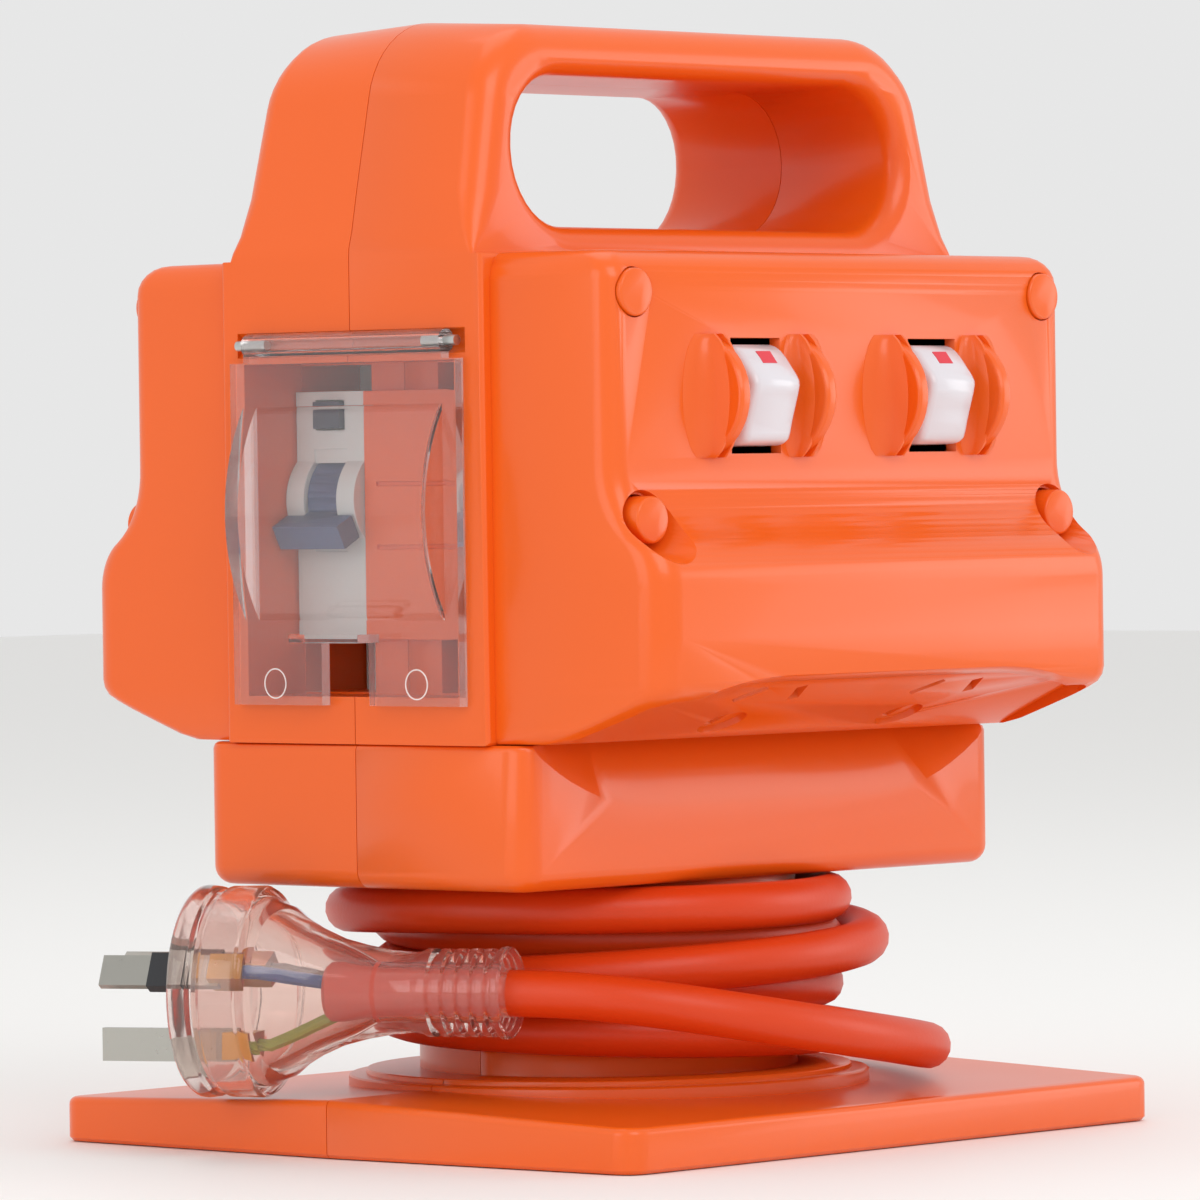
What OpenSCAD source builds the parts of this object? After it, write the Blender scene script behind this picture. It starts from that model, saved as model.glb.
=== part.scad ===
// Portable outlet block: two shell halves, an outlet cover on each side, a breaker behind a
// clear hinged lid, a spool base with its cord, and a clear rewirable plug.
// +Z is up. X runs along the outlet faces, and the lid is on the -X end.
// The origin is the middle of the base's underside. Sizes are millimetres.

/* [Base and spool] */
// Width of the base plate along X
base_x = 160; // [130:0.5:195]
// Depth of the base plate along Y
base_y = 150; // [124:0.5:182]
// Height of the base plate at the seam
base_h = 11; // [9:0.5:14]
// Fall of the base plate's top from the seam to its front and rear edges
base_fall = 2.5; // [0:0.25:3]
// Inset of the base plate's ends at its front and rear edges
base_draft = 2.5; // [0:0.25:5]
// Depth of the pockets under the base plate
pocket_h = 5; // [3:0.5:5.5]
// Radius of the round core that the cord is wound on
core_r = 37; // [34:0.5:38]
// Height of the gap that the cord is wound in
spool_gap = 39.5; // [39.5:0.5:50]

/* [Body] */
// Width of the body along X at the seam
body_x = 141.2; // [130:0.2:170]
// Depth of the central body between the two outlet covers
body_y = 68.6; // [66:0.2:80]
// Height of the central body
body_h = 92.3; // [90:0.1:112]
// Depth of the foot below the body
foot_y = 84; // [78:0.5:100]
// Height of the foot
foot_h = 27.5; // [24:0.5:34]
// Wall of the shell halves
wall = 3; // [2.4:0.1:3.6]
// Height of the handle above the body
handle_h = 45.2; // [42:0.1:55]
// Width of the hand opening
grip_x = 111; // [90:0.5:115]
// Height of the hand opening
grip_h = 28.8; // [26:0.1:36]

/* [Outlet covers] */
// Width of each outlet cover
cover_x = 137; // [125:0.5:140]
// Distance from the seam to the switch face
face_y = 63; // [60:0.5:70]
// How far the lip stands out from the switch face
lip_out = 12; // [8:0.5:15]
// Wall of the outlet covers
cover_wall = 2.5; // [2:0.1:3]
// Distance between the two switches and between the two outlets
outlet_pitch = 52; // [46:0.5:56]
// Width of each rocker
rocker_w = 13.4; // [11:0.1:16.2]
// Angle that each rocker turns between on and off
rocker_swing = 20; // [14:1:22]
// Length of a plug pin's flat
pin_w = 6.35; // [6:0.05:6.6]
// Thickness of a plug pin
pin_t = 1.63; // [1.5:0.01:1.7]
// Diameter of the caps over the cover screws
cap_d = 9; // [7.5:0.1:10.8]

/* [Breaker and lid] */
// Width of the breaker module
breaker_w = 18; // [15:0.1:21.6]
// Height of the breaker's nose
nose_h = 47.3; // [40:0.1:52]
// Width of the clear lid
lid_w = 59; // [50:0.5:60]
// Height of the clear lid
lid_h = 71.3; // [64:0.1:78]
// Wall of the clear lid
lid_t = 2.2; // [1.8:0.1:2.6]
// Opening angle of the lid
lid_swing = 110; // [60:5:115]
// Diameter of the lid's hinge pin
hinge_pin_d = 2; // [1.5:0.1:2.4]

/* [Cord and plug] */
// Diameter of the cord
cord_d = 9; // [8:0.1:9]
// Diameter of the plug's round face
plug_d = 40.6; // [38:0.1:41]
// Thickness of the plug's round face
plug_t = 14.6; // [13:0.1:16]
// Length of the plug from its face to its cord end
plug_l = 62.8; // [58:0.1:66]

/* [Hidden] */
$fn = 64;
eps = 0.01;
gap = 0.3;
hx = body_x / 2;
hy = body_y / 2;
z_foot = base_h + spool_gap;
z_body = z_foot + foot_h;
split_z = z_body + 1;
z_deck = z_body + body_h;
z_top = z_deck + handle_h;
grip_z = z_deck + 5.4 + grip_h / 2;
switch_x = outlet_pitch / 2;
switch_z = z_deck - 27.3;
rocker_axis_y = face_y - 4.7;
slant_in = 46.5;
slant_rise = 12.2;
lip_y = face_y + lip_out;
slant = atan(slant_rise / (lip_y - slant_in));
socket_y = 62.9;
socket_z = z_body + (socket_y - slant_in) * tan(slant);
screw_x = cover_x / 2 - 8.5;
screw_z = [z_deck - 8, z_body + 42];
shell_screw_x = screw_x - 12;
shell_screw_z = [z_deck - 6, z_body - 17.5];
nose_z = z_body + 43.3;
nose_x = -(hx - 13.6);
breaker_y = 27 - breaker_w / 2;
recess_w = 55;
recess_z = z_body + 9;
recess_h = 63.5;
plate_x = -(hx - 15.6);
lid_z = z_body + 7.4;
lid_axis = [-(hx + 1), 0, lid_z + lid_h - 2.6];
lid_in = -(hx + gap);
toggle_axis = [nose_x + 7, 0, nose_z + 3];
toggle_r = 9.4;
button_z = nose_z + nose_h / 2 - 4.5;
rail_x = 4;
coil_in = core_r + gap;
coil_mid = coil_in + cord_d + 0.2;
coil_out = coil_mid + cord_d;
coil_z = base_h + 2.3;
coil_step_z = z_foot - gap - 2 * cord_d - 1.7;
bend_r = 33;
bend_turn = 15;
bend_end = 130;
bend_c = [9 * cos(bend_turn), 9 * sin(bend_turn)];
entry_z = coil_z + cord_d / 2;
plug_at = [-58.3, -28.3, 31];
plug_turn = 24;

// The free cord's route from the coil round to the plug
tail_points = [
  [-5, 52, 27.3],
  [9, 53.5, 26.3],
  [23, 52, 24.9],
  [36, 46.5, 23.2],
  [46.5, 37.5, 21.5],
  [54, 25, 19.9],
  [58.5, 10.5, 18.3],
  [59.5, -4.5, 16.9],
  [57, -19.5, 15.9],
  [51.5, -33.5, 15.6],
  [43, -45.5, 15.7],
  [32, -55.3, 16.5],
  [19.5, -62.3, 18],
  [6, -66.3, 19.9],
  [-8.5, -67.6, 22.1],
  [-22.5, -66, 24.4],
  [-34, -61.5, 26.6],
  [-43.5, -54.5, 28.6],
  [-50.2, -46.2, 30],
  [-54.2, -37.4, 30.8],
  [-58.3, -28.3, 31],
  [-66.4, -10, 31]
];

// Which sub-part to make, or all of them

// ---- outlines and helpers ----

// Points on an arc from angle a0 to a1
function arc(c, r, a0, a1, n = 8) =
  [for (i = [0 : n]) [c[0] + r * cos(a0 + (a1 - a0) * i / n), c[1] + r * sin(a0 + (a1 - a0) * i / n)]];

function mirrored(p) = concat(p, [for (i = [len(p) - 1 : -1 : 0]) [-p[i][0], p[i][1]]]);

module rounded_rect(x, y, r) {
  square([x - 2 * r, y], center = true);
  square([x, y - 2 * r], center = true);
  for (sx = [-1, 1], sy = [-1, 1])
    translate([sx * (x / 2 - r), sy * (y / 2 - r)])
      circle(r);
}

// Plan with ends that fall back from the seam to the front and rear edges
module drafted_plan(x, y, draft, r) {
  intersection() {
    rounded_rect(x, y, r);
    polygon([[-x / 2, 0], [-x / 2 + draft, -y / 2], [x / 2 - draft, -y / 2],
      [x / 2, 0], [x / 2 - draft, y / 2], [-x / 2 + draft, y / 2]]);
  }
}

// Prism along X of an outline drawn in Y and Z
module along_x(x) {
  rotate([90, 0, 90])
    linear_extrude(x, center = true)
      children();
}

// Prism along Y of an outline drawn in X and Z
module along_y(y) {
  rotate([90, 0, 0])
    linear_extrude(y, center = true)
      children();
}

// A rod along Y from y0 to y1
module rod_y(x, z, r, y0, y1) {
  translate([x, y1, z])
    rotate([90, 0, 0])
      cylinder(r = r, h = y1 - y0);
}

module front_half() {
  intersection() {
    children();
    translate([-200, -200, -10])
      cube([400, 200, 300]);
  }
}

module rear_half() {
  intersection() {
    children();
    translate([-200, 0, -10])
      cube([400, 200, 300]);
  }
}

module to_front() {
  mirror([0, 1, 0])
    children();
}

// One swept tube: a ring of n corners at every point, one closed polyhedron
function unit(v) = v / norm(v);
function heading(p, i) = unit(p[min(i + 1, len(p) - 1)] - p[max(i - 1, 0)]);
function side_of(h) = unit(cross(h, [0.12, 0.05, 1]));
function ring(p, i, r, n) =
  let (h = heading(p, i), s = side_of(h), u = cross(s, h))
  [for (k = [0 : n - 1]) p[i] + r * (cos(360 * k / n) * s + sin(360 * k / n) * u)];

module tube(p, r, n = 8) {
  m = len(p);
  polyhedron(
    points = [for (i = [0 : m - 1]) each ring(p, i, r, n)],
    faces = concat(
      [[for (k = [0 : n - 1]) k]],
      [for (i = [0 : m - 2], k = [0 : n - 1])
        [i * n + k, (i + 1) * n + k, (i + 1) * n + (k + 1) % n]],
      [for (i = [0 : m - 2], k = [0 : n - 1])
        [i * n + k, (i + 1) * n + (k + 1) % n, i * n + (k + 1) % n]],
      [[for (k = [n - 1 : -1 : 0]) (m - 1) * n + k]]
    )
  );
}

// ---- shell ----

module base_plate() {
  intersection() {
    linear_extrude(base_h)
      drafted_plan(base_x, base_y, base_draft, 3);
    along_x(base_x + 2)
      polygon([[-base_y / 2, 0], [base_y / 2, 0], [base_y / 2, base_h - base_fall],
        [0, base_h], [-base_y / 2, base_h - base_fall]]);
  }
}

module base_pockets() {
  difference() {
    translate([0, 0, -1])
      linear_extrude(pocket_h + 1)
        rounded_rect(base_x - 12, base_y - 12, 3);
    cylinder(r = core_r + 4, h = 20);
    cube([base_x, 8, 20], center = true);
    cube([4, base_y, 20], center = true);
  }
}

module scoop_cut() {
  rise = foot_h - 14.8;
  rotate([90, 0, 0])
    translate([0, 0, hy - 0.3])
      linear_extrude(20)
        polygon(mirrored(concat([[34, z_foot + 14.8]],
          [for (i = [1 : 8]) [34 + 34 * i / 8, z_foot + 14.8 + rise * pow(i / 8, 2.2)]],
          [[68, z_body + 1]])));
}

module foot() {
  difference() {
    intersection() {
      translate([0, 0, z_foot])
        linear_extrude(foot_h)
          drafted_plan(body_x, foot_y, 2.1, 6);
      along_x(body_x + 2)
        polygon([[-foot_y / 2 + 4, z_foot], [foot_y / 2 - 4, z_foot], [foot_y / 2, z_foot + 4],
          [foot_y / 2, z_body], [-foot_y / 2, z_body], [-foot_y / 2, z_foot + 4]]);
      along_y(foot_y + 2)
        polygon([[-hx + 4, z_foot], [hx - 4, z_foot], [hx, z_foot + 4],
          [hx, z_body], [-hx, z_body], [-hx, z_foot + 4]]);
    }
    for (s = [0, 1])
      mirror([0, s, 0])
        intersection() {
          scoop_cut();
          along_x(body_x + 2)
            polygon([[-foot_y / 2 - 1, z_foot + 14.8], [-foot_y / 2, z_foot + 14.8],
              [-hy, z_body], [-hy, z_body + 2], [-foot_y / 2 - 1, z_body + 2]]);
        }
  }
}

// The side outline of body and handle, d inside the outer surface
function side_outline(d) = mirrored(concat(
  [[hx - d, z_body - 2 * d - 0.5]],
  [[hx - d, z_deck + 1.7], [hx - 2.4 - d, z_deck + 12.3]],
  arc([hx - 23.9, z_top - 18], 18 - d, 10, 90)));

// The end outline of body and handle
function end_outline(d) = mirrored(concat(
  [[hy - d, z_body - 2 * d - 0.5], [hy - d, z_deck - d / 2]],
  [[hy - 2.3 - d, z_deck + 0.7 - d / 2], [hy - 4.3 - d, z_deck + 17.7]],
  arc([hy - 13.9, z_top - 8], 8 - d, 4, 90, 5)));

module body_form(d) {
  intersection() {
    along_y(body_y + 2)
      polygon(side_outline(d));
    along_x(body_x + 2)
      polygon(end_outline(d));
    translate([0, 0, z_body - 10])
      linear_extrude(z_top)
        drafted_plan(body_x - 2 * d, body_y - 2 * d + 0.01, 1.1, 2);
  }
}

module grip(d) {
  translate([0, 0, grip_z])
    along_y(body_y + 4)
      rounded_rect(grip_x + 2 * d, grip_h + 2 * d, 14 + d);
}

module recess_walls() {
  translate([-hx + 1, -hy + 1, recess_z - 2.5])
    cube([hx + plate_x + 1, body_y - 2, recess_h + 5]);
}

module cover_bosses() {
  for (x = [-screw_x, screw_x], z = screw_z, s = [0, 1])
    mirror([0, s, 0])
      rod_y(x, z, 4.5, hy - 8, hy - 0.5);
}

module shell_bosses() {
  for (x = [-shell_screw_x, shell_screw_x], z = shell_screw_z)
    rod_y(x, z, 4.5, -hy + 1, hy - 1);
}

// The sunk way in which the cord leaves the core
module entry_ring(r0, r1, z0, z1, a0, a1) {
  translate([bend_c[0], bend_c[1], 0])
    rotate([0, 0, bend_turn + a0])
      rotate_extrude(angle = a1 - a0)
        translate([r0, z0])
          square([r1 - r0, z1 - z0]);
}

module entry_wall() {
  intersection() {
    entry_ring(bend_r - 7.5, bend_r + 8, base_h - 1, entry_z + 7.5, 10, bend_end + 5);
    cylinder(r = core_r, h = 60);
  }
}

module shell_inside() {
  difference() {
    union() {
      body_form(wall);
      translate([0, 0, z_foot + wall])
        linear_extrude(11)
          rounded_rect(body_x - 2 * wall - 4, foot_y - 2 * wall, 4);
      translate([0, 0, z_foot + wall])
        linear_extrude(foot_h)
          rounded_rect(body_x - 2 * wall, body_y - 2 * wall, 2);
      translate([0, 0, pocket_h])
        cylinder(r = core_r - wall, h = z_foot);
    }
    grip(wall);
    recess_walls();
    cover_bosses();
    shell_bosses();
    entry_wall();
  }
}

module lid_seat() {
  rod_y(lid_axis[0], lid_axis[2], 2.6, -lid_w / 2 + 3.2, lid_w / 2 - 3.2);
}

module lid_ears() {
  for (s = [0, 1])
    mirror([0, s, 0])
      difference() {
        union() {
          rod_y(lid_axis[0], lid_axis[2], 2.2, lid_w / 2 - 3.2, lid_w / 2);
          translate([lid_axis[0], lid_w / 2 - 3.2, lid_axis[2] - 2.2])
            cube([3, 3.2, 4.4]);
        }
        rod_y(lid_axis[0], lid_axis[2], hinge_pin_d / 2, 0, lid_w / 2 - 0.8);
      }
}

module cover_openings() {
  for (s = [0, 1])
    mirror([0, s, 0])
      translate([0, hy - 4, (z_body + z_deck) / 2])
        rotate([-90, 0, 0])
          linear_extrude(6)
            rounded_rect(96, body_h - 22, 4);
}

module shell() {
  difference() {
    union() {
      difference() {
        union() {
          base_plate();
          translate([0, 0, base_h - 3])
            cylinder(r = core_r + 14, h = 3.8);
          translate([0, 0, base_h])
            cylinder(r = core_r + 10.6, h = 2);
          translate([0, 0, 2])
            cylinder(r = core_r, h = z_foot);
          foot();
          body_form(0);
        }
        base_pockets();
        shell_inside();
      }
      lid_ears();
    }
    grip(0);
    translate([-hx - 2, -recess_w / 2, recess_z])
      cube([hx + plate_x + 2, recess_w, recess_h]);
    translate([plate_x - 5, breaker_y - breaker_w / 2 - gap, nose_z - nose_h / 2 - gap])
      cube([20, breaker_w + 2 * gap, nose_h + 2 * gap]);
    lid_seat();
    cover_openings();
    entry_ring(bend_r - 5.2, bend_r + 9, entry_z - 5.2, entry_z + 5.2, -10, bend_end);
    gland_seat();
    for (x = [-screw_x, screw_x], z = screw_z, s = [0, 1])
      mirror([0, s, 0])
        rod_y(x, z, 1.7, hy - 6.2, hy + 1);
    for (x = [-shell_screw_x, shell_screw_x], z = shell_screw_z) {
      rod_y(x, z, 1.8, -12, z_top);
      rod_y(x, z, 3.4, hy - 4, z_top);
    }
  }
}

module at_entry(a) {
  translate([bend_c[0], bend_c[1], entry_z])
    rotate([0, 0, bend_turn + a])
      translate([bend_r, 0, 0])
        rotate([-90, 0, 0])
          children();
}

module gland_seat() {
  at_entry(bend_end)
    translate([0, 0, -1])
      cylinder(r = 5.6, h = 14);
}

// One level of a shell half, because each half is split where its hollow changes
module level(low, high) {
  intersection() {
    children();
    translate([-200, -200, low])
      cube([400, 400, high - low]);
  }
}

module front_handle() {
  color("#F4702E")
    level(z_deck, 400)
      front_half()
        shell();
}

module rear_handle() {
  color("#F4702E")
    level(z_deck, 400)
      rear_half()
        shell();
}

module front_shell() {
  color("#F4702E")
    level(split_z, z_deck)
      front_half()
        shell();
}

module front_spool() {
  color("#F4702E")
    level(-10, split_z)
      front_half()
        shell();
}

module rear_spool() {
  color("#F4702E")
    level(-10, split_z)
      rear_half()
        shell();
}

module rear_shell() {
  color("#F4702E")
    level(split_z, z_deck)
      rear_half()
        shell();
}

module shell_screws() {
  color("silver")
    for (x = [-shell_screw_x, shell_screw_x], z = shell_screw_z) {
      rod_y(x, z, 1.75, -11.5, hy - 1);
      rod_y(x, z, 3.2, hy - 3.95, hy - 1.5);
    }
}

// ---- outlet covers, drawn on the +Y side ----

// The cover's outline in Y and Z, d inside the outer surface
function cover_outline(d) =
  let (turn = 54, r1 = 18 + d, r2 = 11 - d, z1 = z_body + 53)
  concat(
    [[hy - (d > 0 ? 1 : 0), z_body + gap + d], [hy - (d > 0 ? 1 : 0), z_deck - d]],
    arc([face_y - 5, z_deck - 6], 6 - d, 90, 0, 5),
    arc([face_y + 18, z1], r1, 180, 180 + turn, 6),
    arc([lip_y - 11, z1 - 29 * sin(turn)], r2, turn, 0, 6),
    [[lip_y - d, z_body + gap + slant_rise - d * tan(slant) + d / cos(slant)],
      [slant_in - d * (1 / cos(slant) - 1) / tan(slant), z_body + gap + d]]);

module cover_plan(d) {
  intersection() {
    rounded_rect(cover_x - 2 * d, 2 * (lip_y - d), 5 - d);
    polygon([[-cover_x / 2 + d, hy - 2], [cover_x / 2 - d, hy - 2],
      [cover_x / 2 - 1.3 - d, lip_y], [-cover_x / 2 + 1.3 + d, lip_y]]);
  }
}

module cover_form(d) {
  intersection() {
    along_x(cover_x)
      polygon(cover_outline(d));
    linear_extrude(z_top)
      cover_plan(d);
  }
}

module cheeks() {
  intersection() {
    along_x(cover_x)
      polygon([[slant_in + 0.5, z_body + gap], [lip_y - 3, z_body + 8.5],
        [lip_y, z_body + 12.5], [lip_y - 2, z_body + 16], [slant_in - 3, z_body + 3]]);
    difference() {
      linear_extrude(z_top)
        cover_plan(0);
      linear_extrude(z_top)
        cover_plan(3);
    }
    union() {
      for (s = [-1, 1])
        translate([s * (cover_x / 2 - 1.5), 60, 90])
          cube([6, 80, 60], center = true);
    }
  }
}

module at_socket(x) {
  translate([x, socket_y, socket_z + gap])
    rotate([slant, 0, 0])
      children();
}

// The three slot places of an outlet: x, y and turn of each
function slot_places() = [[6.86, 3.96, 30], [-6.86, 3.96, -30], [0, -10.31, 0]];

module slots(w, t, h, z) {
  for (s = slot_places())
    translate([s[0], s[1], z])
      rotate([0, 0, s[2]])
        translate([-t / 2, -w / 2, 0])
          cube([t, w, h]);
}

module guard_fins() {
  intersection() {
    union() {
      for (x = [-switch_x, switch_x], s = [-1, 1]) {
        translate([x + s * (rocker_w / 2 + 5.6), face_y - 2.5, switch_z])
          rotate([0, 90, 0])
            cylinder(r = 11.3, h = 3.2, center = true);
        translate([x + s * (rocker_w / 2 + 7), face_y - 9.6, switch_z])
          rotate([0, 90, 0])
            cylinder(r = 14, h = 6.4, center = true);
      }
    }
    translate([-cover_x / 2, face_y - 1, z_body])
      cube([cover_x, 20, body_h]);
  }
}

module cover() {
  difference() {
    union() {
      difference() {
        cover_form(0);
        cover_form(cover_wall);
      }
      cheeks();
      guard_fins();
      intersection() {
        for (x = [-screw_x, screw_x], z = screw_z)
          rod_y(x, z, cap_d / 2 + 1.2, hy, lip_y);
        cover_form(0);
      }
    }
    for (x = [-switch_x, switch_x])
      translate([x - rocker_w / 2 - 0.4, face_y - 6, switch_z - 10.8])
        cube([rocker_w + 0.8, 8, 21.6]);
    for (x = [-switch_x, switch_x])
      at_socket(x) {
        slots(pin_w + 0.6, pin_t + 0.6, 6, -2);
        translate([0, -10.31, -1])
          cylinder(r = 5, h = 1.8);
      }
    for (x = [-screw_x, screw_x]) {
      rod_y(x, screw_z[0], cap_d / 2 + 0.1, face_y - 2.5, lip_y);
      rod_y(x, screw_z[1], cap_d / 2 + 0.1, face_y - 4, lip_y);
      rod_y(x, screw_z[1], cap_d / 2 + 1.6, face_y - 0.5, lip_y + 1);
    }
    for (x = [-screw_x, screw_x], z = screw_z) {
      rod_y(x, z, 2.1, hy - 1, face_y);
      rod_y(x, z, 3.6, hy + 12, face_y);
    }
  }
}

module front_cover() {
  color("#F4702E")
    to_front()
      cover();
}

module rear_cover() {
  color("#F4702E")
    cover();
}

module cover_screws() {
  for (x = [-screw_x, screw_x], z = screw_z) {
    rod_y(x, z, 1.68, hy - 6, hy + 12.5);
    rod_y(x, z, 3.4, hy + 12, hy + 15);
  }
}

module front_cover_screws() {
  color("silver")
    to_front()
      cover_screws();
}

module rear_cover_screws() {
  color("silver")
    cover_screws();
}

module screw_caps() {
  for (x = [-screw_x, screw_x]) {
    rod_y(x, screw_z[0], cap_d / 2, face_y - 2.5, face_y + 0.6);
    rod_y(x, screw_z[1], cap_d / 2, face_y - 4, face_y + 4);
  }
}

module front_screw_caps() {
  color("#F4702E")
    to_front()
      screw_caps();
}

module rear_screw_caps() {
  color("#F4702E")
    screw_caps();
}

// ---- switches, drawn on the +Y side ----

module rocker(x) {
  a = rocker_axis_y;
  translate([x, 0, 0]) {
    along_x(rocker_w)
      polygon([[a - 3.5, switch_z + 6.5], [a + 1, switch_z + 9.8], [face_y + 0.4, switch_z + 8.8],
        [face_y + 6, switch_z + 3.2], [face_y + 4, switch_z - 2.2], [face_y + 2.8, switch_z - 8.2],
        [face_y + 0.6, switch_z - 9.3], [a + 1, switch_z - 9.8], [a - 3.5, switch_z - 6.5]]);
    translate([0, a, switch_z])
      rotate([0, 90, 0])
        cylinder(r = 1.6, h = rocker_w + 4, center = true);
  }
}

module rocker_front_left() {
  color("#F4F2F5")
    to_front()
      rocker(-switch_x);
}

module rocker_front_right() {
  color("#F4F2F5")
    to_front()
      rocker(switch_x);
}

module rocker_rear_left() {
  color("#F4F2F5")
    rocker(switch_x);
}

module rocker_rear_right() {
  color("#F4F2F5")
    rocker(-switch_x);
}

module switch_case(x) {
  w = rocker_w + 7;
  back = face_y - 26;
  difference() {
    translate([x - w / 2, back, switch_z - 13.5])
      cube([w, face_y - cover_wall - back, 27]);
    translate([x - rocker_w / 2 - 0.4, face_y - 13, switch_z - 11.2])
      cube([rocker_w + 0.8, 20, 22.4]);
    translate([x, rocker_axis_y, switch_z])
      rotate([0, 90, 0])
        cylinder(r = 1.65, h = rocker_w + 4.6, center = true);
  }
}

module switch_case_front_left() {
  color("#33373D")
    to_front()
      switch_case(-switch_x);
}

module switch_case_front_right() {
  color("#33373D")
    to_front()
      switch_case(switch_x);
}

module switch_case_rear_left() {
  color("#33373D")
    switch_case(switch_x);
}

module switch_case_rear_right() {
  color("#33373D")
    switch_case(-switch_x);
}

// ---- outlets, drawn on the +Y side ----

module contacts() {
  for (x = [-switch_x, switch_x])
    at_socket(x)
      difference() {
        slots(pin_w + 1.8, pin_t + 2.2, 8, cover_wall + 2.2);
        slots(pin_w + 0.4, pin_t + 0.2, 12, 0);
      }
}

module socket_carrier() {
  for (x = [-switch_x, switch_x])
    at_socket(x)
      difference() {
        translate([-13, -16, cover_wall + 0.1])
          cube([26, 25, 12.5]);
        slots(pin_w + 1.8, pin_t + 2.2, 20, cover_wall + 2.2);
        slots(pin_w + 0.6, pin_t + 0.6, 20, 0);
      }
}

module front_socket_carrier() {
  color("#F0EEE8")
    to_front()
      socket_carrier();
}

module rear_socket_carrier() {
  color("#F0EEE8")
    socket_carrier();
}

module front_contacts() {
  color("#C9A24A")
    to_front()
      contacts();
}

module rear_contacts() {
  color("#C9A24A")
    contacts();
}

// ---- breaker and lid ----

module breaker_case() {
  y0 = breaker_y - breaker_w / 2;
  color("#D6DEDC")
    difference() {
      union() {
        translate([nose_x, y0, nose_z - nose_h / 2])
          cube([20, breaker_w, nose_h]);
        translate([nose_x + 18, y0, nose_z - 41])
          cube([rail_x + 3.5 - nose_x - 18, breaker_w, 82]);
        intersection() {
          rod_y(toggle_axis[0], toggle_axis[2], toggle_r + 0.8, y0, y0 + breaker_w);
          translate([nose_x - 20, y0, nose_z - 25])
            cube([22, breaker_w, 50]);
        }
      }
      rod_y(toggle_axis[0], toggle_axis[2], toggle_r + 0.4, breaker_y - 4.3, breaker_y + 4.3);
      rod_y(toggle_axis[0], toggle_axis[2], 1.55, breaker_y - 6, breaker_y + 6);
      translate([nose_x - 12, breaker_y - 4.3, toggle_axis[2] - 9.8])
        cube([12.2, 8.6, 19.6]);
      translate([nose_x - 1, breaker_y - 3.8, button_z - 2.8])
        cube([6, 7.6, 5.6]);
      translate([rail_x, y0 - 1, nose_z - 17.7])
        cube([10, breaker_w + 2, 35.4]);
      for (s = [-1, 1])
        translate([rail_x - 20, breaker_y, nose_z + s * 41])
          cube([9, 9, 14], center = true);
    }
}

module breaker_toggle() {
  color("#5B6E93") {
    rod_y(toggle_axis[0], toggle_axis[2], toggle_r, breaker_y - 4, breaker_y + 4);
    rod_y(toggle_axis[0], toggle_axis[2], 1.5, breaker_y - 5.8, breaker_y + 5.8);
    translate([toggle_axis[0], breaker_y, toggle_axis[2]])
      rotate([0, -28, 0]) {
        translate([-15.2, -4, -2.4])
          cube([8, 8, 4.8]);
        translate([-15.2, -breaker_w / 2 + 0.4, -2.4])
          cube([4.6, breaker_w - 0.8, 4.8]);
      }
  }
}

module breaker_test_button() {
  color("#2E3A4A")
    translate([nose_x - 1.2, breaker_y - 3.5, button_z - 2.5])
      cube([3.4, 7, 5]);
}

module breaker_terminals() {
  color("#C9A24A")
    for (s = [-1, 1])
      translate([rail_x - 20, breaker_y, nose_z + s * 38])
        difference() {
          cube([8.8, 8.8, 8], center = true);
          translate([0, 0, s * 2])
            cube([5.4, 5.4, 6], center = true);
        }
}

module din_rail() {
  color("silver")
    translate([0, 0, nose_z])
      along_y(body_y - 2 * wall)
        polygon([[rail_x, -17.5], [rail_x + 1, -17.5], [rail_x + 1, -12.5], [rail_x + 8.5, -12.5],
          [rail_x + 8.5, 12.5], [rail_x + 1, 12.5], [rail_x + 1, 17.5], [rail_x, 17.5],
          [rail_x, 11.5], [rail_x + 7.5, 11.5], [rail_x + 7.5, -11.5], [rail_x, -11.5]]);
}

module blanking_plate() {
  y1 = breaker_y - breaker_w / 2 - gap;
  color("#E8531B")
    difference() {
      translate([plate_x - 2.4, -recess_w / 2 + 0.2, nose_z - nose_h / 2])
        cube([2.4, y1 + recess_w / 2 - 0.2, nose_h]);
      for (z = [-6, 6])
        translate([plate_x - 2.4, y1 / 2 - recess_w / 4, nose_z + z])
          cube([1.2, y1 + recess_w / 2 - 6, 0.8], center = true);
    }
}

module lid_bulge(r, w) {
  intersection() {
    rod_y(lid_in - lid_t - 5.5 + 41, lid_z + 36.5, r, -w / 2, w / 2);
    translate([lid_in - 20, -w / 2, lid_z])
      cube([20, w, lid_h]);
  }
}

module window_lid() {
  x1 = lid_in - lid_t;
  color([0.9, 0.92, 0.95, 0.35])
    difference() {
      union() {
        translate([x1, -lid_w / 2, lid_z])
          cube([lid_t, lid_w, lid_h - 6]);
        translate([x1, -lid_w / 2 + 3.6, lid_z])
          cube([lid_t, lid_w - 7.2, lid_h - 2.6]);
        lid_bulge(41, lid_w - 7);
        rod_y(lid_axis[0], lid_axis[2], 2.2, -lid_w / 2 + 3.6, lid_w / 2 - 3.6);
        translate([x1 - 6, -9, lid_z + 12])
          cube([8, 18, 1.6]);
      }
      lid_bulge(39, lid_w - 11);
      rod_y(lid_axis[0], lid_axis[2], hinge_pin_d / 2 + 0.05, -lid_w, lid_w);
      translate([x1 - 1, -6.2, lid_z - 1])
        cube([6, 12.4, 13]);
    }
}

module lid_hinge_pin() {
  color("silver")
    for (s = [0, 1])
      mirror([0, s, 0])
        rod_y(lid_axis[0], lid_axis[2], hinge_pin_d / 2, lid_w / 2 - 9, lid_w / 2 - 0.8);
}

// ---- wiring inside ----

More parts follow.
